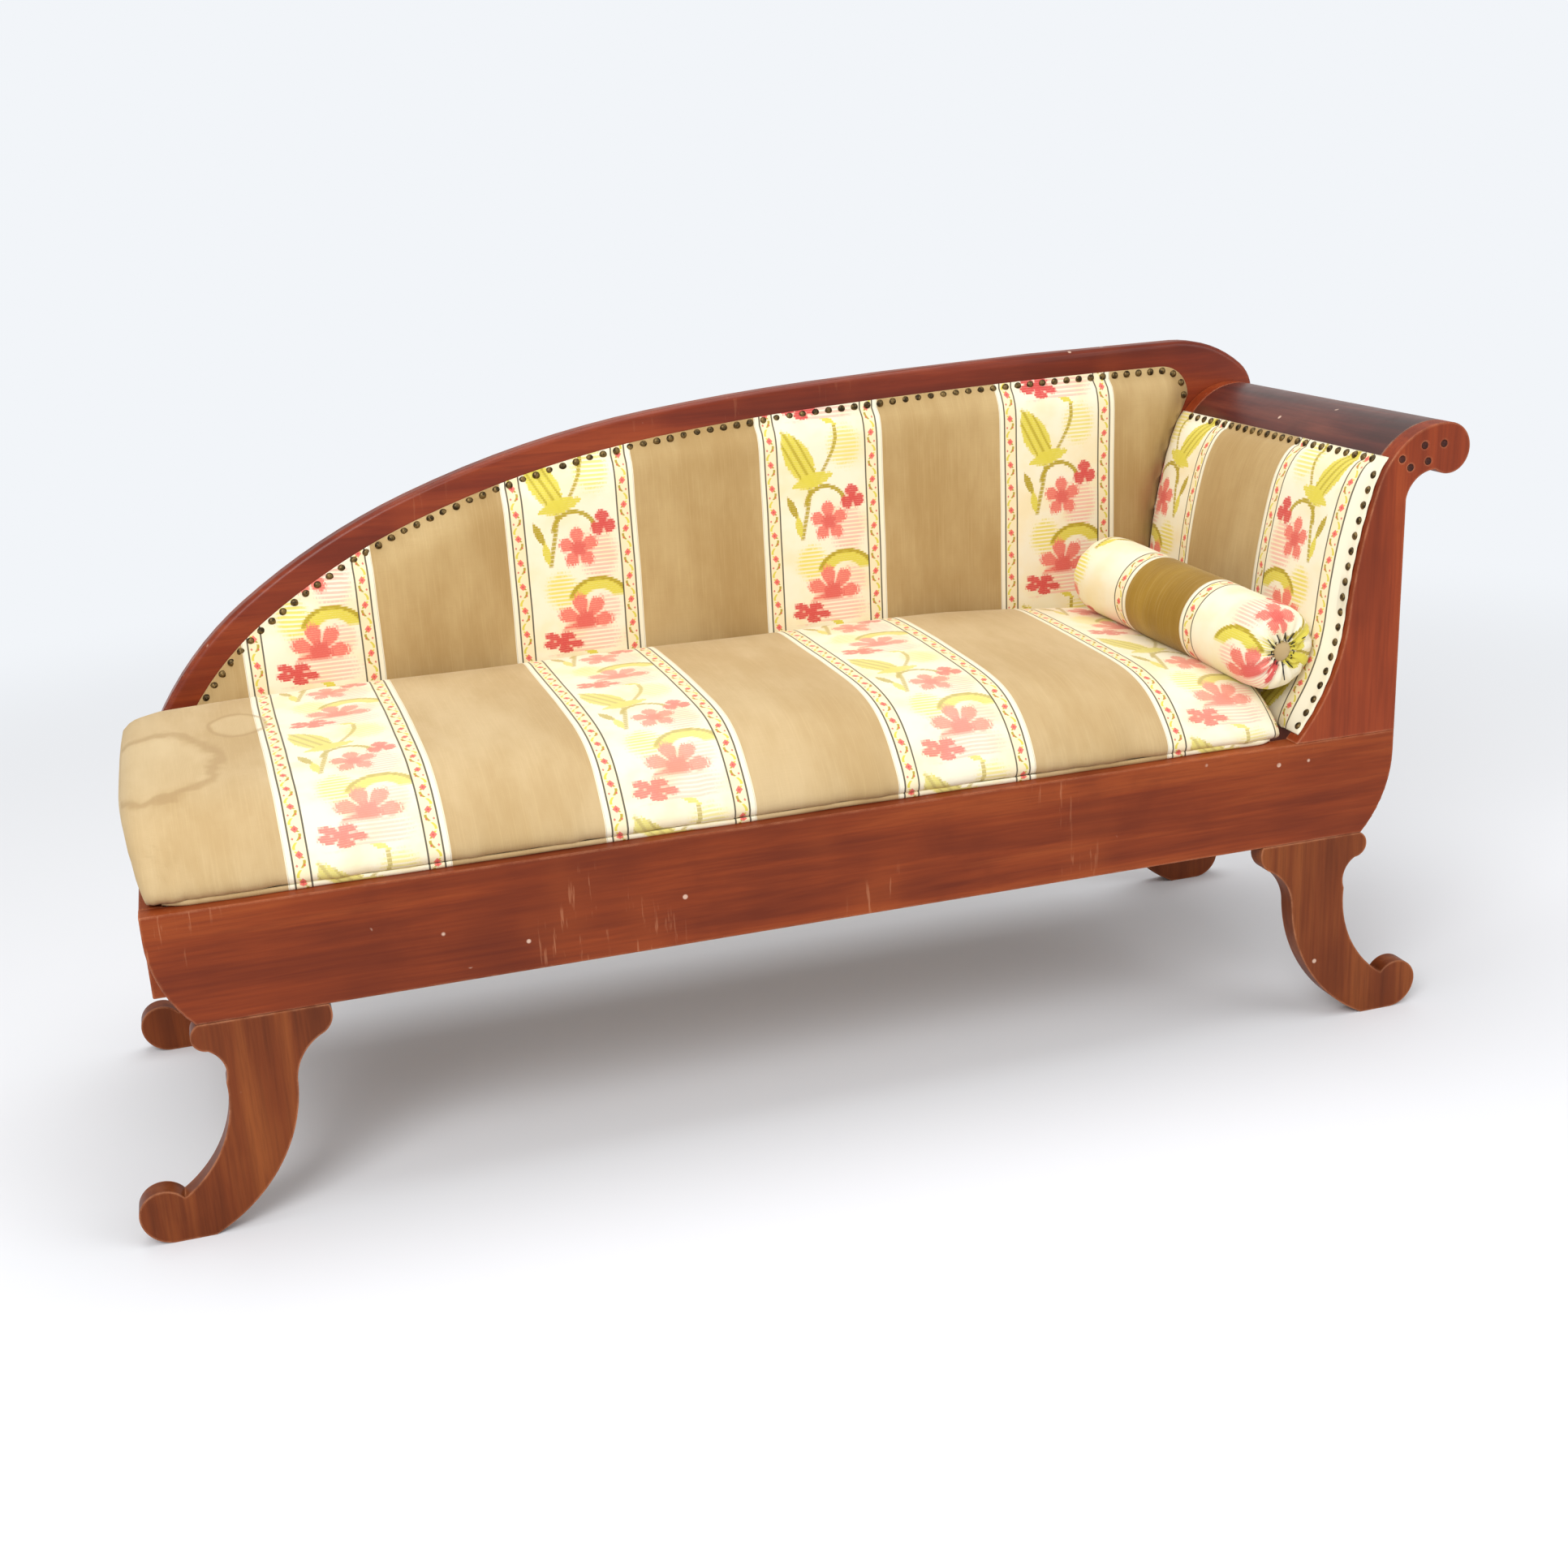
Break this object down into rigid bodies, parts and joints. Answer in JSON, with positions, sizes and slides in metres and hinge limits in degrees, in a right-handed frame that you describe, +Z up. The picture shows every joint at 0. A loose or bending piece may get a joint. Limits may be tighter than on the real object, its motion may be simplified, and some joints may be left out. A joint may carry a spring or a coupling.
{
  "type": "recamier",
  "caption": "One-armed day bed on sabre legs with a rising crest, a scrolled arm, nailed striped upholstery, a loose seat cushion and a bolster.",
  "frame": {"origin": "centre of the overall length and depth, on the floor", "axes": "+X along the length towards the arm, +Y from the front to the back, +Z up"},
  "size_m": [1.7844, 0.585, 0.89],
  "materials": {
    "show_wood": "French-polished mahogany, worn at the edges",
    "frame_wood": "bare beech and pine",
    "nail_brass": "antiqued brass",
    "screw_steel": "plain steel",
    "webbing": "woven jute",
    "hessian": "open plain weave",
    "plain_cloth": "olive satin, slight sheen",
    "striped_cloth": "olive and cream stripes with woven flowers",
    "stuffing": "horsehair and wadding"
  },
  "bodies": {
    "root": {"arm_cover": "striped_cloth", "arm_front_board": "show_wood", "arm_front_nails": "nail_brass", "arm_lower_slat": "frame_wood", "arm_middle_slat": "frame_wood", "arm_outer_panel": "show_wood", "arm_plugs": "show_wood", "arm_rear_board": "show_wood", "arm_roll": "show_wood", "arm_screws": "screw_steel", "arm_stuffing": "stuffing", "arm_top_nails": "nail_brass", "arm_upper_slat": "frame_wood", "arm_webbing": "webbing", "back_cover": "striped_cloth", "back_left_upright": "frame_wood", "back_lower_rail": "frame_wood", "back_middle_upright": "frame_wood", "back_right_upright": "frame_wood", "back_stile": "frame_wood", "back_stuffing": "stuffing", "back_webbing": "webbing", "corner_blocks": "frame_wood", "corner_screws": "screw_steel", "crest_nails": "nail_brass", "crest_rail": "show_wood", "cross_rail": "frame_wood", "front_batten": "frame_wood", "front_left_leg": "show_wood", "front_rail": "show_wood", "front_right_leg": "show_wood", "left_end_rail": "show_wood", "leg_dowels": "frame_wood", "outside_back_cloth": "plain_cloth", "rear_batten": "frame_wood", "rear_left_leg": "show_wood", "rear_rail": "show_wood", "rear_right_leg": "show_wood", "right_end_rail": "show_wood"},
    "drop_in_seat": {"deck_cover": "striped_cloth", "deck_stuffing": "stuffing", "seat_cross_webbing": "webbing", "seat_front_bar": "frame_wood", "seat_hessian": "hessian", "seat_left_bar": "frame_wood", "seat_long_webbing": "webbing", "seat_middle_bar": "frame_wood", "seat_rear_bar": "frame_wood", "seat_right_bar": "frame_wood"},
    "seat_cushion": {"cushion_cover": "striped_cloth", "cushion_filling": "stuffing"},
    "bolster": {"bolster_buttons": "plain_cloth", "bolster_cover": "striped_cloth", "bolster_filling": "stuffing"}
  },
  "joints": [
    {"name": "seat_lift", "type": "slide", "parent": "root", "child": "drop_in_seat", "axis": [0, 0, 1], "range_m": [0, 0.55]},
    {"name": "cushion_lift", "type": "slide", "parent": "drop_in_seat", "child": "seat_cushion", "axis": [0, 0, 1], "range_m": [0, 0.5]},
    {"name": "bolster_lift", "type": "slide", "parent": "seat_cushion", "child": "bolster", "axis": [0, 0, 1], "range_m": [0, 0.45]}
  ]
}
